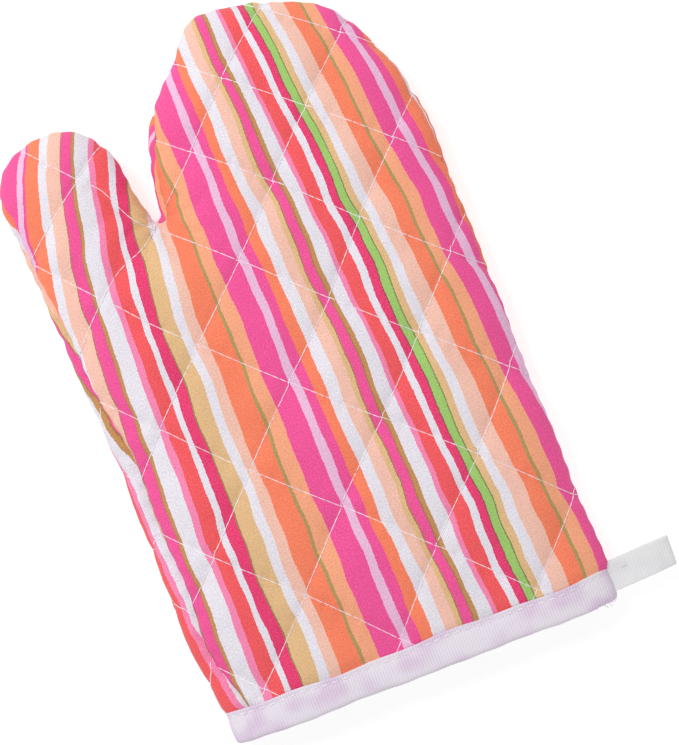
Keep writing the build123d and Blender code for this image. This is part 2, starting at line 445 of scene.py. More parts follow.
def panel(face, cell, first_ring=0):
    """Points, triangles and flat cloth places of one whole panel's outer surface."""
    sign = 1 if face == "front" else -1
    plan, tau, nearest, triangles = flat_panel(face, cell, first_ring)
    x, y = plan.T
    points = np.column_stack([x, y, base_height(x, y, tau)])
    normals = vertex_normals(points, triangles)
    normals[y < cut_edge + 0.01, 1] = 0
    normals /= np.linalg.norm(normals, axis=1)[:, None]
    from_seam = np.abs(arc_at(tau) - arc_at(seam_inset[nearest]))
    round_edge = along_edge[nearest]
    waves = np.sin(round_edge * 2 * np.pi / ease_length + 1.3 * np.sin(round_edge / 17))
    sharp = np.where(left_side[nearest], seam_left, seam_elsewhere)
    seam_pull = sharp * np.exp(-((from_seam / seam_width) ** 2))
    seam_pull = seam_pull + sag_depth * np.exp(-((from_seam / sag_width) ** 2))
    seam_pull = seam_pull + ease_depth * waves * np.exp(-from_seam / sag_width)
    beyond = np.where(tau * sign < 0, np.abs(arc_at(tau)), 0)
    rolled = np.where(tau * sign < 0, np.abs(tau), 0)
    cloth = plan - inward[nearest] * (beyond + rolled)[:, None]
    pressed = squeeze(y)
    quilt = np.where(tau * sign < 0, quilt_on_roll, 1.0) * stitch_valley(*cloth.T, face)
    quilt = quilt * smooth((from_seam + 2) / 7) * (1 - (1 - quilt_in_tape) * pressed)
    if face == "back":
        quilt = quilt * quilt_on_back
    depth = seam_pull * (1 - 0.5 * pressed) + quilt + tape_bite * pressed
    if face == "front":
        depth = depth + crease_fan(x, y) * smooth(np.abs(tau) / 4)
    points = points - normals * depth[:, None]
    points[:, 2] = np.maximum(points[:, 2], lowest)
    return points, triangles, cloth


front = panel("front", cell=1.3)
back = panel("back", cell=1.6)
for label, surface in (("front", front), ("back", back)):
    print(label, "panel:", len(surface[0]), "points,", len(surface[1]), "triangles")

# %% [markdown]
# ## Cutting the panel where the thumb folds
# The thumb folds on one line and the fingers on another, and one mesh can follow only one
# fold. So each panel is two meshes that meet on the thumb's fold line. Normals are worked out
# on the whole panel first and kept, so the join can't be seen.

# %% Cutting at the thumb line
thumb_line = Vector((0.0, 209.6, 0.0))  # on the fold line, beside the corner of thumb and hand
thumb_out = Vector((-0.865306, 0.501244, 0.0))  # square to the fold line, towards the thumb
gap_middle = 1.5  # x between the thumb's edge and the hand's
cut_until = 12  # x where the cut stops, just inside the hand


def on_thumb(points):
    """Which points lie beyond the thumb's fold line, on the thumb's side of the notch."""
    past = (points[:, 0] - thumb_line.x) * thumb_out.x + (points[:, 1] - thumb_line.y) * thumb_out.y
    return (past > 0) & (points[:, 0] < gap_middle)


def cut_panel(points, triangles, cloth):
    """The same surface with an edge run along the fold line."""
    work = bmesh.new()
    layer = work.loops.layers.uv.new("cloth")
    verts = [work.verts.new(p) for p in points]
    for triangle in triangles:
        made = work.faces.new([verts[k] for k in triangle])
        for loop, k in zip(made.loops, triangle):
            loop[layer].uv = cloth[k]
    near = [f for f in work.faces if all(v.co.x < cut_until for v in f.verts)]
    near_edges = {e for f in near for e in f.edges}
    near_verts = {v for f in near for v in f.verts}
    near = near + list(near_edges) + list(near_verts)
    bmesh.ops.bisect_plane(work, geom=near, dist=1e-3, plane_co=thumb_line, plane_no=thumb_out)
    bmesh.ops.triangulate(work, faces=work.faces[:])
    work.verts.index_update()
    new_points = np.array([v.co[:] for v in work.verts])
    new_triangles = np.array([[v.index for v in f.verts] for f in work.faces])
    new_cloth = np.zeros((len(new_points), 2))
    for f in work.faces:
        for loop in f.loops:
            new_cloth[loop.vert.index] = loop[layer].uv
    work.free()
    return new_points, new_triangles, new_cloth


front, back = cut_panel(*front), cut_panel(*back)
print("front panel after the cut:", len(front[1]), "triangles")

# %% [markdown]
# ## From a surface to cloth with a thickness
# A sheet with no thickness renders, but it can't be measured or printed. Each sheet gets an
# inner face and an edge all round. The inner face is set back along the panel's own normals,
# and both faces keep those normals for shading, so no dark line shows where the edge begins.

# %% Sheet with a thickness
def put(name, data):
    """A new object at the origin, in the scene."""
    made = bpy.data.objects.new(name, data)
    bpy.context.scene.collection.objects.link(made)
    return made


def solid_cloth(name, points, normals, triangles, uv, outer, inner, material):
    """A closed mesh between two depths under a surface."""
    used = np.unique(triangles)
    number = np.full(len(points), -1)
    number[used] = np.arange(len(used))
    faces = number[triangles]
    top = points[used] - normals[used] * outer
    low = points[used] - normals[used] * inner
    low[:, 2] = np.maximum(low[:, 2], underside + 0.5 * inner * (outer > 0))
    runs = np.vstack([faces[:, [0, 1]], faces[:, [1, 2]], faces[:, [2, 0]]])
    key = np.sort(runs, axis=1)
    _, first, counts = np.unique(key, axis=0, return_index=True, return_counts=True)
    rim_runs = runs[first[counts == 1]]
    n = len(used)
    walls = [(b, a, a + n, b + n) for a, b in rim_runs]
    everything = faces.tolist() + (faces[:, ::-1] + n).tolist() + walls
    mesh = bpy.data.meshes.new(name)
    mesh.from_pydata(to_frame(np.vstack([top, low])).tolist(), [], everything)
    layer = mesh.uv_layers.new(name="cloth")
    corner = np.empty(len(mesh.loops), np.int32)
    mesh.loops.foreach_get("vertex_index", corner)
    both = np.vstack([uv[used], uv[used]])
    layer.data.foreach_set("uv", both[corner].astype(np.float32).ravel())
    mesh.polygons.foreach_set("use_smooth", np.ones(len(mesh.polygons), bool))
    mesh.normals_split_custom_set_from_vertices(np.vstack([normals[used], -normals[used]]).tolist())
    mesh.materials.append(material)
    return put(name, mesh)


# %% [markdown]
# ## Where the print falls on the cloth
# The stripes run up the mitt, lean a little to the thumb and bend in the thumb itself, because
# the panel was cut and sewn askew. So each point of the flat cloth is given its place on the
# roll of print: how far across the stripes, with their small kinks, and how far along them.

# %% Print coordinate
print_zero = 39.5  # near the middle of the cuff: the print is measured across from there
lean_heights = [-20, 16, 80, 182.5, 241, 290]  # how far a stripe has moved over, by height
lean_across = [-16.8, -17.3, -19.5, -21.7, -23.1, -24]


def print_place(cloth, shift):
    """Where on the printed stripes a cloth point falls: across and along, in metres."""
    u, v = cloth[:, 0] - print_zero, cloth[:, 1]
    scale = 1 - 0.0006 * (v - 80) - 0.0000017 * (v - 80) ** 2
    lean = np.interp(v, lean_heights, lean_across)
    bend = 0.00175 * np.maximum(v - 165, 0) ** 2 * smooth((-30 - u) / 12)
    p, q = lattice_values(cloth[:, 0], v, "front")
    kink = 0.4 * ripple(u, v, 47, 31) + 0.3 * ripple(u, v, 15, 33) + 0.13 * ripple(u, v, 7, 35)
    kink = kink + 0.3 * np.sin(2 * np.pi * q + 0.8) - 0.2 * np.sin(2 * np.pi * p)
    shift = np.interp(v, [50, 110, 170], shift)
    across = -19.5 + (u - lean - bend) / scale + kink + shift
    return np.column_stack([across, v]) / 1000


# %% [markdown]
# ## A helper for nodes, and colours
# Every material here is a handful of nodes, so one small function adds a node, sets it and
# links it. Colours are written as the familiar sRGB hex and turned to linear by one function.

# %% Node helper
def add(tree, kind, inputs=None, **settings):
    """One node with its settings, and its inputs set to values or linked to sockets."""
    made = tree.nodes.new(kind)
    for name, value in settings.items():
        setattr(made, name, value)
    for name, value in (inputs or {}).items():
        if isinstance(value, bpy.types.NodeSocket):
            tree.links.new(value, made.inputs[name])
        else:
            made.inputs[name].default_value = value
    return made


def linear(code, alpha=1.0):
    """An sRGB hex colour as linear light."""
    parts = [int(code[k:k + 2], 16) / 255 for k in (1, 3, 5)]
    return [c / 12.92 if c <= 0.04045 else ((c + 0.055) / 1.055) ** 2.4 for c in parts] + [alpha]


def cloth_material(name):
    """A new material with its shader: returns the tree and the Principled node."""
    material = bpy.data.materials.new(name)
    material.use_nodes = True
    return material, material.node_tree, material.node_tree.nodes["Principled BSDF"]


# %% [markdown]
# ## Printed cotton
# The shell is plain-weave cotton, printed in stripes of uneven width. Roughness is high, as
# cotton scatters light from every fibre, and a faint sheen gives the fuzz. The stripes are
# colour ramps without blending, read across the cloth's own coordinates, so they run over every
# swelling as a print does. A weave of 0.35 mm can't be seen here, so it is drawn at 1 mm.

# %% Printed cotton material
pink, light_pink, orange, white = "#EE4C95", "#E9B8D8", "#F67E59", "#E4DFE8"
peach, tan, brown, mid_pink = "#F0BDAB", "#DFB683", "#BF8A50", "#F482AE"
coral, crimson, green, olive, apricot = "#F05257", "#E5316C", "#9AC567", "#AA9355", "#F3A37C"
maroon, umber, moss = "#9A3E50", "#9C7440", "#74863F"  # the thin lines beside some stripes
stripes = [  # millimetres wide, colour
    (8, apricot), (10, pink), (2.7, light_pink), (1.3, pink), (7, orange), (4.2, white),
    (6.6, peach), (0.5, umber), (5.2, pink), (0.3, umber), (1.5, brown),
    (7.0, white), (2.9, mid_pink), (5.9, coral), (2.6, white), (4.7, crimson), (0.6, moss),
    (6.7, tan), (4.1, white), (4.7, peach), (8.8, orange), (1.3, olive), (6.0, apricot),
    (9.6, pink), (3.6, light_pink), (4.1, pink), (4.7, orange), (5.1, white), (4.9, peach),
    (2.1, tan), (0.4, umber), (4.0, pink), (0.4, umber), (1.8, brown), (5.5, white),
    (2.2, mid_pink), (5.8, coral), (3.2, white), (3.3, crimson), (0.4, maroon), (3.3, green),
    (0.5, moss), (2.9, tan), (4.1, white), (6.6, peach), (6.6, orange), (1.2, olive),
    (5.4, apricot), (7.3, pink), (3.8, light_pink), (4, pink), (5, orange), (5, white),
    (5, peach), (3, tan), (9, pink),
]
stripes_start = -122.1  # where the first stripe begins, across the cloth
total = sum(width for width, _ in stripes)
printed, tree, shader = cloth_material("printed_plain_weave_cotton")
place = add(tree, "ShaderNodeUVMap", uv_map="cloth").outputs["UV"]
wobble = add(tree, "ShaderNodeTexNoise", {"Vector": place, "Scale": 900.0, "Detail": 2.0})
wobble = add(tree, "ShaderNodeMapRange", {
    "Value": wobble.outputs["Fac"], "To Min": -0.00035, "To Max": 0.00035})
across = add(tree, "ShaderNodeSeparateXYZ", {"Vector": place}).outputs["X"]
across = add(tree, "ShaderNodeMath", {0: across, 1: wobble.outputs["Result"]}, operation="ADD")
across = add(tree, "ShaderNodeMapRange", {
    "Value": across.outputs[0], "From Min": stripes_start / 1000,
    "From Max": (stripes_start + total) / 1000}, clamp=False).outputs["Result"]
across = add(tree, "ShaderNodeMath", {0: across}, operation="FRACT").outputs[0]
print(f"{len(stripes)} stripes over {total:.0f} mm, then again")

# %% One ramp for every dozen stripes
# A ramp is read in 256 steps, so a single one would lose the stripes under a millimetre.
colour, done, per_ramp = None, 0.0, 12
for first in range(0, len(stripes), per_ramp):
    chosen = stripes[first:first + per_ramp]
    width = sum(w for w, _ in chosen)
    local = add(tree, "ShaderNodeMapRange", {
        "Value": across, "From Min": done / total, "From Max": (done + width) / total})
    ramp = add(tree, "ShaderNodeValToRGB", {"Fac": local.outputs["Result"]})
    ramp.color_ramp.interpolation = "CONSTANT"
    elements = ramp.color_ramp.elements
    elements.remove(elements[1])
    start = 0.0
    for number, (w, code) in enumerate(chosen):
        spot = elements[0] if number == 0 else elements.new(start)
        spot.color = linear(code)
        start += w / width
    if colour is None:
        colour = ramp.outputs["Color"]
    else:
        past = add(tree, "ShaderNodeMath", {0: across, 1: done / total}, operation="GREATER_THAN")
        colour = add(tree, "ShaderNodeMix", {
            "Factor": past.outputs[0], 6: colour, 7: ramp.outputs["Color"]},
            data_type="RGBA").outputs[2]
    done += width

# %% Weave and uneven ink
weave_pitch = 0.0010  # metres: the real 0.35 mm is too fine to show
threads = add(tree, "ShaderNodeVectorMath", {
    0: place, 1: (2 * math.pi / weave_pitch,) * 3}, operation="MULTIPLY").outputs[0]
parts = add(tree, "ShaderNodeSeparateXYZ", {"Vector": threads})
warp = add(tree, "ShaderNodeMath", {0: parts.outputs["X"]}, operation="SINE").outputs[0]
weft = add(tree, "ShaderNodeMath", {0: parts.outputs["Y"]}, operation="SINE").outputs[0]
weave = add(tree, "ShaderNodeMath", {0: warp, 1: weft}, operation="MULTIPLY").outputs[0]
slub = add(tree, "ShaderNodeTexNoise", {"Vector": place, "Scale": 1500.0, "Detail": 2.0})
slub = add(tree, "ShaderNodeMapRange", {
    "Value": slub.outputs["Fac"], "From Min": 0.3, "From Max": 0.7}).outputs["Result"]
fade = add(tree, "ShaderNodeTexNoise", {"Vector": place, "Scale": 60.0, "Detail": 3.0})
grain = add(tree, "ShaderNodeMath", {0: weave, 1: 0.22, 2: slub}, operation="MULTIPLY_ADD").outputs[0]
tone = add(tree, "ShaderNodeMapRange", {
    "Value": grain, "From Min": 0.0, "From Max": 1.0, "To Min": 0.84, "To Max": 1.10})
faded = add(tree, "ShaderNodeMapRange", {
    "Value": fade.outputs["Fac"], "From Min": 0.3, "From Max": 0.7, "To Min": 0.95, "To Max": 1.02})
tone = add(tree, "ShaderNodeMath", {0: tone.outputs[0], 1: faded.outputs[0]}, operation="MULTIPLY")
bare = add(tree, "ShaderNodeTexNoise", {"Vector": place, "Scale": 1900.0, "Detail": 2.0})
bare = add(tree, "ShaderNodeMapRange", {
    "Value": bare.outputs["Fac"], "From Min": 0.45, "From Max": 0.7, "To Max": 0.11})
colour = add(tree, "ShaderNodeMix", {
    "Factor": bare.outputs["Result"], 6: colour, 7: linear("#F3E6E6")}, data_type="RGBA")
colour = add(tree, "ShaderNodeVectorMath", {
    0: colour.outputs[2], "Scale": tone.outputs[0]}, operation="SCALE")
bump = add(tree, "ShaderNodeBump", {"Height": grain, "Strength": 0.35, "Distance": 0.0003})
tree.links.new(colour.outputs[0], shader.inputs["Base Color"])
tree.links.new(bump.outputs["Normal"], shader.inputs["Normal"])
shader.inputs["Roughness"].default_value = 0.88
shader.inputs["Specular IOR Level"].default_value = 0.25
shader.inputs["Sheen Weight"].default_value = 0.12
shader.inputs["Sheen Roughness"].default_value = 0.5

# %% [markdown]
# ## The other cottons
# The lining is unprinted white cotton, the wadding is a fluffy white batt that nothing but the
# cut edge would show, and the thread is spun polyester with a little more gloss than the cloth.

# %% Plain materials
def plain_material(name, code, second, roughness, pitch, strength, patch=90.0, ribs=0.0):
    """A pale textile: two close tones in soft patches, and a fibrous or ribbed bump."""
    material, tree, shader = cloth_material(name)
    place = add(tree, "ShaderNodeTexCoord").outputs["Object"]
    fine = add(tree, "ShaderNodeTexNoise", {"Vector": place, "Scale": 1 / pitch}).outputs["Fac"]
    soft = add(tree, "ShaderNodeTexNoise", {"Vector": place, "Scale": patch, "Detail": 1.0})
    soft = add(tree, "ShaderNodeMapRange", {
        "Value": soft.outputs["Fac"], "From Min": 0.38, "From Max": 0.62}).outputs["Result"]
    if ribs:
        run = add(tree, "ShaderNodeUVMap", uv_map="cloth").outputs["UV"]
        wave = add(tree, "ShaderNodeTexWave", {  # its bands repeat every 0.314 / Scale
            "Vector": run, "Scale": 0.314 / ribs, "Distortion": 0.8, "Detail": 1.0,
            "Detail Scale": 2.0}, wave_type="BANDS", bands_direction="X")
        fine = add(tree, "ShaderNodeMath", {0: fine, 1: 0.4, 2: wave.outputs["Fac"]},
                   operation="MULTIPLY_ADD").outputs[0]
        soft = add(tree, "ShaderNodeMath", {0: wave.outputs["Fac"], 1: 0.45, 2: soft},
                   operation="MULTIPLY_ADD", use_clamp=True).outputs[0]
    tone = add(tree, "ShaderNodeMix", {0: soft, 6: linear(code), 7: linear(second)},
               data_type="RGBA")
    bump = add(tree, "ShaderNodeBump", {"Height": fine, "Strength": strength, "Distance": 0.0003})
    tree.links.new(tone.outputs[2], shader.inputs["Base Color"])
    tree.links.new(bump.outputs["Normal"], shader.inputs["Normal"])
    shader.inputs["Roughness"].default_value = roughness
    shader.inputs["Sheen Weight"].default_value = 0.08
    shader.inputs["Specular IOR Level"].default_value = 0.3
    return material


tape_cloth = plain_material("white_ribbed_cotton_tape", "#D6BFD8", "#E3DBE5", 0.8, 0.0007, 0.5,
                            patch=70.0, ribs=0.0012)
loop_cloth = plain_material("white_satin_loop_tape", "#D8D7DB", "#E2E2E3", 0.6, 0.0007, 0.35,
                            ribs=0.0012)
lining_cloth = plain_material("white_lining_cotton", "#ECE8E6", "#F6F4F2", 0.9, 0.0008, 0.3)
batting = plain_material("fluffy_polyester_wadding", "#F0EFED", "#FAFAF9", 1.0, 0.003, 0.6)
thread = plain_material("spun_polyester_thread", "#E6DAE4", "#F4EEF3", 0.6, 0.0006, 0.4)

# %% [markdown]
# ## Shell, wadding and lining
# Each layer follows the shell at its own depth. The outer one has all the detail; the wadding
# and the lining are smoother and coarser, since only the mouth of the cuff shows any of them.

# %% Layers of each panel
def layer_pieces(face, surface, layer, outer, inner, material, shift):
    points, triangles, cloth = surface
    normals = vertex_normals(points, triangles)
    uv = print_place(cloth, shift)
    middle = points[triangles].mean(axis=1)
    thumb_side = on_thumb(middle)
    made = {}
    for part, chosen in (("main", triangles[~thumb_side]), ("thumb", triangles[thumb_side])):
        name = f"{part}_panel_{face}_{layer}"
        piece = solid_cloth(name, points, normals, chosen, uv, outer, inner, material)
        flat = cloth[chosen]
        a, b = flat[:, 1] - flat[:, 0], flat[:, 2] - flat[:, 0]
        area = np.abs(a[:, 0] * b[:, 1] - a[:, 1] * b[:, 0]).sum() / 2e6
        size = (flat.reshape(-1, 2).max(axis=0) - flat.reshape(-1, 2).min(axis=0)) / 1000
        made[part] = piece, tuple(float(s) for s in size), float(area)
        print(f"{name}: {len(piece.data.polygons)} faces, cut {size[0]:.3f} x {size[1]:.3f} m")
    return made


front_print = (0.0, 0.0, 0.0)
back_print = (123.5, 122.0, 115.0)  # its stripes lean away from the front's, low to high
inner_front = cut_panel(*panel("front", cell=2.8, first_ring=4))
inner_back = cut_panel(*panel("back", cell=2.8, first_ring=4))
outer_surface = {"front": front, "back": back}
inner_surface = {"front": inner_front, "back": inner_back}
cloths = {  # millimetres under the surface, material
    "shell": (0.0, 0.6, printed),
    "wadding": (1.0, 3.6, batting),
    "lining": (3.8, 4.3, lining_cloth),
}
layers = {}
for layer, (outer, inner, material) in cloths.items():
    for face in ("front", "back"):
        surface = (outer_surface if layer == "shell" else inner_surface)[face]
        shift = back_print if (layer, face) == ("shell", "back") else front_print
        layers[face, layer] = layer_pieces(face, surface, layer, outer, inner, material, shift)

# %% [markdown]
# ## Setting the pieces in place
# The main meshes go from the hand to the fingers across the knuckles, and the thumb meshes
# go from the hand to the thumb. Each piece's placement is baked into its mesh, and the imported
# parts that it takes the place of are hidden.


def fold(piece, part):
    """Bake a piece's placement into its mesh; the main and the thumb cloth are treated alike."""
    if part == "main":
        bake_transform(piece)
    else:
        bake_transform(piece)


def stand_for(part, face, layer):
    """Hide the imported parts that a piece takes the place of."""
    names = ["thumb"] if part == "thumb" else ["hand", "fingers"]
    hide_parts(*[f"{n}_{face}_{layer}".replace("__", "_") for n in names])


for (face, layer), made in layers.items():
    for part, (piece, size, area) in made.items():
        fold(piece, part)
        stand_for(part, face, layer)

# %% [markdown]
# ## Stitches
# A row of stitches is the same short loop of thread over and over, so Geometry Nodes lays one
# at every stitch length along a curve and turns it along the row. Each is a slim bead of 36
# faces that tapers at both ends, and no more than that, because there are hundreds of them.

# %% Stitch tree
stitch_tree = bpy.data.node_groups.new("row_of_stitches", "GeometryNodeTree")
face_in = stitch_tree.interface
face_in.new_socket("Geometry", in_out="INPUT", socket_type="NodeSocketGeometry")
for label, value in (("Stitch length", 0.0033), ("Gap", -0.0007), ("Thread thickness", 0.00042)):
    socket = face_in.new_socket(label, in_out="INPUT", socket_type="NodeSocketFloat")
    socket.default_value = value
face_in.new_socket("Material", in_out="INPUT", socket_type="NodeSocketMaterial")
face_in.new_socket("Geometry", in_out="OUTPUT", socket_type="NodeSocketGeometry")
given = add(stitch_tree, "NodeGroupInput").outputs
spots = add(stitch_tree, "GeometryNodeCurveToPoints", {
    "Curve": given["Geometry"], "Length": given["Stitch length"]}, mode="LENGTH")
turned = add(stitch_tree, "FunctionNodeAlignRotationToVector", {
    "Vector": spots.outputs["Tangent"]}, axis="Z")
seed = add(stitch_tree, "FunctionNodeRandomValue", {2: 0.9, 3: 1.08, "Seed": 4}, data_type="FLOAT")
long = add(stitch_tree, "ShaderNodeMath", {
    0: given["Stitch length"], 1: given["Gap"]}, operation="SUBTRACT")
long = add(stitch_tree, "ShaderNodeMath", {
    0: long.outputs[0], 1: seed.outputs[1]}, operation="MULTIPLY")
scale = add(stitch_tree, "ShaderNodeCombineXYZ", {
    "X": given["Thread thickness"], "Y": given["Thread thickness"], "Z": long.outputs[0]})
bead = add(stitch_tree, "GeometryNodeMeshUVSphere", {"Segments": 6, "Rings": 6, "Radius": 0.5})
bead = add(stitch_tree, "GeometryNodeSetShadeSmooth", {"Geometry": bead.outputs["Mesh"]})
laid = add(stitch_tree, "GeometryNodeInstanceOnPoints", {
    "Points": spots.outputs["Points"], "Instance": bead.outputs[0],
    "Rotation": turned.outputs[0], "Scale": scale.outputs[0]})
real = add(stitch_tree, "GeometryNodeRealizeInstances", {"Geometry": laid.outputs[0]})
painted = add(stitch_tree, "GeometryNodeSetMaterial", {
    "Geometry": real.outputs[0], "Material": given["Material"]})
add(stitch_tree, "NodeGroupOutput", {"Geometry": painted.outputs[0]})


def sew(name, rows, material=thread, **sizes):
    """Stitches along rows of pattern points, as one plain mesh."""
    data = bpy.data.curves.new(name + "_rows", "CURVE")
    data.dimensions = "3D"
    for row in rows:
        spline = data.splines.new("POLY")
        spline.points.add(len(row) - 1)
        spline.points.foreach_set("co", np.column_stack([to_frame(row), np.ones(len(row))]).ravel())
    carrier = put(name + "_rows", data)
    modifier = carrier.modifiers.new("Stitches", "NODES")
    modifier.node_group = stitch_tree
    sockets = {s.name: s.identifier for s in face_in.items_tree if s.in_out == "INPUT"}
    modifier[sockets["Material"]] = material
    for label, value in sizes.items():
        modifier[sockets[label.replace("_", " ")]] = value
    graph = bpy.context.evaluated_depsgraph_get()
    mesh = bpy.data.meshes.new_from_object(carrier.evaluated_get(graph), depsgraph=graph)
    bpy.data.objects.remove(carrier)
    piece = put(name, mesh)
    print(f"{name}: {len(rows)} rows, {len(mesh.polygons)} faces")
    return piece


# %% [markdown]
# ## Quilting thread
# The thread follows the lattice. Each sample is dropped onto the panel from above or below, and
# a row ends where it meets the side seam or goes under the tape. The back's rows go on round the
# roll and are seen from the front there.

# %% Quilting thread on both panels
sample_step = 0.03  # of a lattice step
slip_most = 1.5  # how far a row can slip from one crossing to the next
seam_gap, roll_gap = 0.8, 0.2  # where a row stops, beside the seam and beside the outline
above_all = 40  # height that the samples are dropped from
thread_lift = 0.05  # the thread's middle lies this far off the cloth


def dropped_rows(face, surface):
    """Rows of points on a panel along the lattice, split at the edges and the thumb line."""
    points, triangles, _ = surface
    cloth_tree = BVHTree.FromPolygons(points.tolist(), triangles.tolist())
    up = 1 if face == "front" else -1
    rows = {"main": [], "thumb": []}
    for family in (0, 1):
        for whole in range(-8, 12):
            other = np.arange(-9, 13, sample_step)
            pair = (np.full(len(other), whole), other)
            x, y = lattice_place(*(pair if family == 0 else pair[::-1]), face)
            keep = (y > tape_depth - 1) & (y < tip)
            within = inside(edge, x, y)
            run, run_part = [], None
            slip = slip_most * np.sin(2.1 * whole + 1.3 * np.floor(other)) ** 2 * (other % 1 - 0.5)
            x = x + slip * (1 if family == 0 else -0.6)
            for px, py, good, flat in zip(x, y, keep, within):
                spot, part = None, None
                if good:
                    _, k, d = edge_tree.find((px, py, 0))
                    shown, seen_from = d > max(up * seam_inset[k], 0) + seam_gap, up
                    if face == "back" and not flat:  # the line goes on round the roll
                        over = np.interp(d, arc_table, tau_table)
                        shown, seen_from = roll_gap < over < seam_inset[k] - seam_gap, 1
                        px, py = edge[k] + inward[k] * over
                    elif not flat:
                        shown = False
                    if shown:
                        start = Vector((px, py, above_all * seen_from))
                        hit = cloth_tree.ray_cast(start, Vector((0, 0, -seen_from)))[0]
                        if hit is not None:
                            spot = (px, py, hit.z + thread_lift * seen_from)
                            part = "thumb" if on_thumb(np.array([[px, py]]))[0] else "main"
                if part != run_part:
                    if len(run) > 3:
                        rows[run_part].append(np.array(run))
                    run, run_part = [], part
                if spot is not None:
                    run.append(spot)
            if len(run) > 3:
                rows[run_part].append(np.array(run))
    return rows


for face, surface in (("front", front), ("back", back)):
    for part, rows in dropped_rows(face, surface).items():
        piece = sew(f"{part}_panel_{face}_quilting", rows)
        fold(piece, part)
        stand_for(part, face, "quilting")

# %% [markdown]
# ## The seam inside
# Inside out, the two panels' edges form a narrow ridge, trimmed and overlocked. It stays behind
# the side seam, where the mouth shows only its first few millimetres. A short strip swept along
# the seam does for the cloth, and the thread goes round it as slanted stitches.

# %% Seam allowance and overlock
def face_outwards(mesh):
    """Turn every face of a closed mesh outwards."""
    work = bmesh.new()
    work.from_mesh(mesh)
    bmesh.ops.recalc_face_normals(work, faces=work.faces[:])
    work.to_mesh(mesh)
    work.free()


def ridge(name, indices, depth_from, depth_to, thick, material):
    """A flat strip that stands inwards from the side seam."""
    k = np.array(indices)
    tau = seam_inset[k]
    x, y = (edge[k] + inward[k] * np.abs(tau)[:, None]).T
    z = base_height(x, y, tau)
    middle = np.column_stack([x, y, z])
    lead = seam_lead(k)
    side = np.cross(lead, np.column_stack([tangent[k], np.zeros(len(k))]))
    half_wave = thick / 2 * (1 + 0.15 * np.sin(along_edge[k] / 2.3))
    loops = []
    for out, up in ((depth_from, -1), (depth_to, -1), (depth_to, 1), (depth_from, 1)):
        loops.append(middle + lead * out + side * (up * half_wave)[:, None])
    count = len(k)
    verts = np.vstack(loops)
    faces = [
        (s * count + i, s * count + i + 1, (s + 1) % 4 * count + i + 1, (s + 1) % 4 * count + i)
        for s in range(4) for i in range(count - 1)
    ]
    faces += [(0, count, 2 * count, 3 * count), tuple(s * count + count - 1 for s in (3, 2, 1, 0))]
    mesh = bpy.data.meshes.new(name)
    mesh.from_pydata(to_frame(verts).tolist(), [], faces)
    mesh.materials.append(material)
    face_outwards(mesh)
    return put(name, mesh), middle + lead * depth_to, lead, side


allowance_from, allowance_to, allowance_thick = 3.9, 6.6, 1.5  # inwards from the seam, and through
overlock_reach = 0.9  # from the strip's middle to each side, and back from its crest
notch = int(np.argmin(np.hypot(ex - thumb_line.x, ey - thumb_line.y)))
past_line = (ex - thumb_line.x) * thumb_out.x + (ey - thumb_line.y) * thumb_out.y
above_cuff = ey > tape_depth - 1
ranges = {
    "fingers": [k for k in range(notch + 1) if above_cuff[k]],
    "thumb": [k for k in range(notch, len(edge)) if past_line[k] > -0.5],
    "palm_side": [k for k in range(notch, len(edge)) if past_line[k] <= 0.5 and above_cuff[k]],
}
for part, indices in ranges.items():
    strip, crest, lead, side = ridge(
        f"{part}_side_seam_allowance", indices, allowance_from, allowance_to, allowance_thick,
        lining_cloth)
    odd = (np.arange(len(crest)) % 2)[:, None]
    zigzag = crest + side * overlock_reach * (2 * odd - 1) - lead * overlock_reach * odd
    lock = sew(f"{part}_side_seam_overlock", [zigzag], Stitch_length=0.0012, Gap=0.0)
    follows = "thumb" if part == "thumb" else "main"
    for piece, layer, slot in ((strip, "seam_allowance", "lining_cotton"),
                               (lock, "seam_overlock", "sewing_thread")):
        if part == "palm_side":
            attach(piece, "hand")
        else:
            fold(piece, follows)
        if part != "palm_side":
            stand_for(follows, "seam", layer.split("_")[1])

# %% [markdown]
# ## Binding tape round the cuff
# A cotton tape is folded over the raw edge and sewn through, so it is a long U that goes once
# round the mouth. Its section is drawn as a closed profile, and a copy is set at every station
# round the squeezed quilt. Its top edge bows a little between the stitches.

# %% Stations round the cuff
cuff_left = -44.3  # the tape's own left side, a little outside the quilt's
ring_height = 8.0  # above the cuff edge, where the quilt's section is taken


def cuff_ring(y, count=150):
    """Points once round the quilt at a height above the cuff edge, and their outward normals."""
    left, right = cuff_left, hand_side
    t = np.linspace(0, np.pi, count)
    inset = (right - left) * (1 - np.cos(t)) / 2
    x = left + inset
    d = np.minimum(inset, right - left - inset)
    yy = np.full(count, float(y))
    top = np.column_stack([x, yy, base_height(x, yy, d)])
    low = np.column_stack([x, yy, base_height(x, yy, -d)])
    ring = np.vstack([top, low[-2:0:-1]])
    step = np.roll(ring, -1, axis=0) - np.roll(ring, 1, axis=0)
    normal = np.column_stack([-step[:, 2], np.zeros(len(ring)), step[:, 0]])
    return ring, normal / np.linalg.norm(normal, axis=1)[:, None]


ring, ring_normal = cuff_ring(ring_height)
ring_step = np.linalg.norm(np.roll(ring, -1, axis=0) - ring, axis=1)
ring_place = np.concatenate([[0], np.cumsum(ring_step)[:-1]])
print(f"cuff is {ring_step.sum():.0f} mm round")


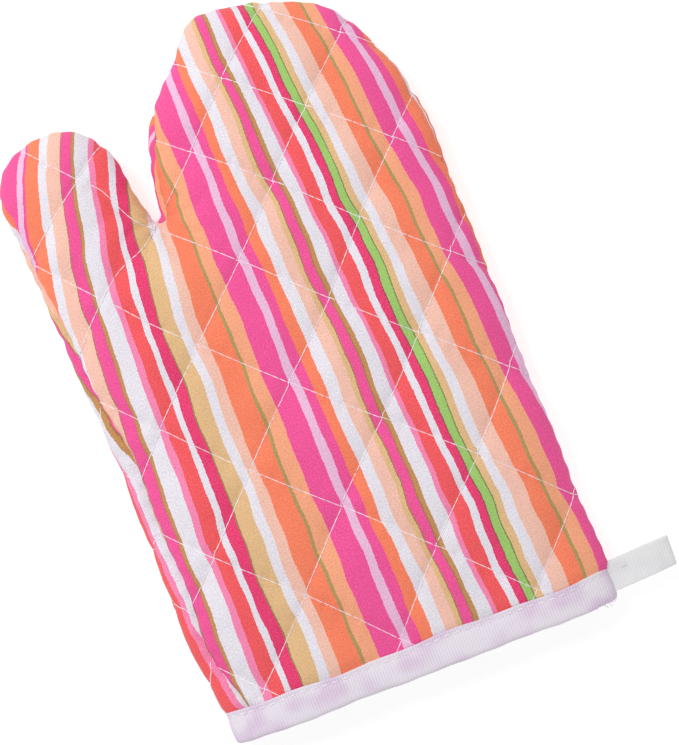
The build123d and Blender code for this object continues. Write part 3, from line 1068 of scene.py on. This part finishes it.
# %% Folded tape
profile = [  # closed section of the tape: height above the cuff edge, and distance outwards
    (13.3, -0.75), (13.5, -0.35), (13.35, 0.0), (12.5, 0.12), (11.4, -0.35), (10.2, 0.05),
    (8.5, 0.16), (6, 0.2), (3, 0.12), (1.6, -0.05), (0.7, -0.55), (0.2, -1.4), (0.0, -2.6),
    (0.2, -3.8), (0.7, -4.6), (1.6, -5.2), (3, -5.45), (6, -5.5), (10, -5.45), (11.6, -5.4),
    (12.0, -5.1), (11.8, -4.8), (10, -4.7), (6, -4.7), (3, -4.65), (2.0, -4.4), (1.2, -3.7),
    (1.0, -2.6), (1.2, -1.6), (1.9, -0.95), (3, -0.8), (6, -0.75), (10, -0.8),
]
overlap_place = 8.0  # from the left side to where the tape's end laps over its start
bow = 0.45 * np.sin(ring_place / 13.0) + 0.3 * np.sin(ring_place / 5.1 + 1)
frill = 0.3 * np.sin(ring_place / 7.3) * np.sin(ring_place / 31) + 0.1 * np.sin(ring_place / 2.1)
seam_mark = ring[:, 0] - (ring[0, 0] + overlap_place)
fold_mark = 0.8 * np.exp(-((seam_mark / 0.8) ** 2))
fold_mark = fold_mark - 0.5 * np.exp(-(((seam_mark - 2.2) / 1.2) ** 2))
fold_mark = fold_mark * (np.arange(len(ring)) < len(ring) / 2)
swellings = -fold_mark + 0.18 * np.sin(ring_place / 4.3 + 0.5 * np.sin(ring_place / 11))
rows = []
for high, out in profile:
    moved = out + np.where(out > -1.0, swellings * (1 - abs(high - 6) / 9), 0)
    station = ring + ring_normal * moved[:, None]
    station[:, 1] = high + bow * smooth(high / 13) + frill * (1 - smooth(high / 6))
    station[:, 2] = np.maximum(station[:, 2], 0.05)
    rows.append(station)
count, sides = len(ring), len(rows)
verts = np.vstack(rows)
faces = [
    (s * count + i, s * count + (i + 1) % count, (s + 1) % sides * count + (i + 1) % count,
     (s + 1) % sides * count + i)
    for s in range(sides) for i in range(count)
]


def woven_piece(name, verts, faces, uv, material):
    """A closed mesh with its own cloth coordinates, normals outwards, smoothly divided once."""
    mesh = bpy.data.meshes.new(name)
    mesh.from_pydata(to_frame(verts).tolist(), [], faces)
    layer = mesh.uv_layers.new(name="cloth")
    for polygon in mesh.polygons:
        for corner in polygon.loop_indices:
            layer.data[corner].uv = uv[mesh.loops[corner].vertex_index] / 1000
    face_outwards(mesh)
    mesh.materials.append(material)
    mesh.polygons.foreach_set("use_smooth", np.ones(len(mesh.polygons), bool))
    piece = put(name, mesh)
    modifier = piece.modifiers.new("Smooth", "SUBSURF")
    modifier.levels = modifier.render_levels = 1
    print(f"{name}: {len(mesh.polygons)} faces before dividing")
    return piece


profile_run = np.concatenate([[0], np.cumsum(np.hypot(*np.diff(np.array(profile), axis=0).T))])
uv = np.column_stack([np.tile(ring_place, sides), np.repeat(profile_run, count)])
binding = woven_piece("cuff_tape", verts, faces, uv, tape_cloth)
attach(binding, "hand")
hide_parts("cuff_binding")

# %% Topstitching through the tape
topstitch_height, topstitch_sunk = 11.4, 0.14
rows = []
for start, stop in ((3, len(ring) // 2 - 6), (len(ring) // 2 + 6, len(ring) - 3)):
    row = ring[start:stop] - ring_normal[start:stop] * topstitch_sunk
    row[:, 1] = topstitch_height + bow[start:stop]
    row[:, 2] = np.maximum(row[:, 2], 0.2)
    rows.append(row)
topstitch = sew("cuff_tape_topstitch", rows, Stitch_length=0.0044, Gap=0.0012,
                Thread_thickness=0.00055)
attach(topstitch, "hand")
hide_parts("cuff_topstitch")

# %% Frayed threads at the tape's edge, by the loop
random = np.random.default_rng(21)
rows = []
for k in range(9):
    foot = np.array([hand_side - 1.5 - 1.3 * k, 0.6, 6.0 + random.uniform(-2.5, 3)])
    away = np.array([random.uniform(-0.5, 0.7), -1, random.uniform(-0.4, 0.4)])
    t = np.linspace(0, 1, 8)[:, None]
    curl = np.array([[0.7 * np.sin(4 * v + k), 0, 0.4 * np.cos(5 * v)] for v in t[:, 0]]) * t
    rows.append(foot + away * t * random.uniform(1.0, 2.4) + curl)
frayed = sew("cuff_tape_frayed_ends", rows, Stitch_length=0.0008, Gap=-0.0004,
             Thread_thickness=0.0003)
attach(frayed, "hand")

# %% [markdown]
# ## Hanging loop
# The loop is a length of the same tape, doubled, caught in the side seam just above the cuff
# edge. It stands out sideways, nearly flat, and opens into a slim drop at its end. One section
# through it is a path out and back, and the tape's width is swept across that.

# %% Loop of tape
loop_wide, loop_low, loop_middle = 12.3, 3.2, 9.6  # width, low edge, and height off the table
root_depth = 4.5  # how far the loop goes into the seam
loop_tape = 0.42  # half of the loop tape's thickness
out_path = [(-root_depth, 0.75), (0, 0.8), (5, 1.0), (10, 1.5), (15, 1.9), (20, 1.9), (25, 1.6),
            (27.4, 1.0), (28.2, 0.0)]
path = np.array(out_path + [(x, -z) for x, z in out_path[-2::-1]])
lengths = np.concatenate([[0], np.cumsum(np.hypot(*np.diff(path, axis=0).T))])
direction = np.gradient(path, axis=0)
direction /= np.linalg.norm(direction, axis=1)[:, None]
path_normal = np.column_stack([-direction[:, 1], direction[:, 0]])
across_steps = np.array([0, 0.3, 1.6, 3.7, 6.1, 8.5, 10.7, 12.0, loop_wide])
sheets = []
for side in (loop_tape, -loop_tape):
    for a in across_steps:
        bevel = 0.72 if a in (across_steps[0], across_steps[-1]) else 1.0
        spread = path + path_normal * side * bevel
        tilt = 0.05 * (spread[:, 0] + root_depth)
        wave = 0.25 * np.sin(a / 3.0 + spread[:, 0] / 6)
        sheets.append(np.column_stack([
            hand_side - 1.2 + spread[:, 0] + 0.03 * a, loop_low + a + tilt,
            loop_middle - 0.05 * spread[:, 0] + spread[:, 1] + wave * smooth(spread[:, 0] / 10)]))
n, m = len(path), len(across_steps)
verts = np.vstack(sheets)
grid = [[k * n + i for i in range(n)] for k in range(2 * m)]
faces = []
for i in range(n - 1):
    for k in range(m - 1):
        faces.append((grid[k][i], grid[k][i + 1], grid[k + 1][i + 1], grid[k + 1][i]))
        faces.append((grid[m + k][i], grid[m + k + 1][i], grid[m + k + 1][i + 1],
                      grid[m + k][i + 1]))
    for k in (0, m - 1):
        faces.append((grid[k][i], grid[m + k][i], grid[m + k][i + 1], grid[k][i + 1]))
for i in (0, n - 1):
    for k in range(m - 1):
        faces.append((grid[k][i], grid[k + 1][i], grid[m + k + 1][i], grid[m + k][i]))
uv = np.column_stack([np.tile(lengths, 2 * m), np.tile(np.repeat(across_steps, n), 2)])
loop = woven_piece("tape_loop", verts, faces, uv, loop_cloth)
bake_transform(loop)
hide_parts("hanging_loop")
stitched = [(hand_side - 2 + t, loop_low + 8.0 + 0.1 * t, loop_middle + 1.3 + 0.02 * t)
            for t in np.arange(1.5, 9, 0.5)]
loop_thread = sew("tape_loop_stitching", [np.array(stitched)], Stitch_length=0.0036, Gap=0.0009)
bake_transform(loop_thread)
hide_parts("loop_stitching")

# %% [markdown]
# ## Table, light and camera
# A product picture on white: a pale table, a soft light from beyond the thumb, a weak one from
# the other side and a bright room all round, so the shadows are short and soft. The camera looks
# straight down and is turned until the mitt leans to the left.

# %% Stage
table_mesh = bpy.data.meshes.new("table")
table_mesh.from_pydata([(-3, -3, 0), (3, -3, 0), (3, 3, 0), (-3, 3, 0)], [], [(0, 1, 2, 3)])
table_cover, tree, shader = cloth_material("matt_white_table")
shader.inputs["Base Color"].default_value = linear("#A6A6A6")
shader.inputs["Emission Color"].default_value = (1, 1, 1, 1)
shader.inputs["Emission Strength"].default_value = 0.72
shader.inputs["Roughness"].default_value = 1.0
shader.inputs["Specular IOR Level"].default_value = 0.0
table_mesh.materials.append(table_cover)
table = put("table", table_mesh)

world = bpy.data.worlds.new("bright_room")
world.use_nodes = True
world.node_tree.nodes["Background"].inputs["Color"].default_value = (1, 1, 1, 1)
world.node_tree.nodes["Background"].inputs["Strength"].default_value = 0.62
bpy.context.scene.world = world


def soft_light(name, at, aim, size, power):
    """A round area light, in metres and watts, turned to what it lights."""
    lamp = bpy.data.lights.new(name, "AREA")
    lamp.shape, lamp.size, lamp.energy = "DISK", size, power
    holder = put(name, lamp)
    holder.location = at
    holder.rotation_euler = (Vector(aim) - Vector(at)).to_track_quat("-Z", "Y").to_euler()


soft_light("window", (-0.6, 0.8, 1.1), (0, 0, 0), 0.6, 12)
soft_light("fill", (0.9, -0.6, 1.5), (0, 0, 0), 1.0, 3)
bpy.context.scene.view_settings.view_transform = "Standard"

# %% Camera
aim = Vector((0.00184, -0.0144, 0.010))
camera_data = bpy.data.cameras.new("camera")
camera_data.lens, camera_data.sensor_fit, camera_data.sensor_width = 135, "HORIZONTAL", 36
frame_width = 0.2736  # metres of the mitt that the picture is wide
camera = put("camera", camera_data)
camera.location = aim + Vector((0, 0, frame_width * camera_data.lens / camera_data.sensor_width))
camera.rotation_euler = (0, 0, math.radians(-21))
bpy.context.scene.camera = camera
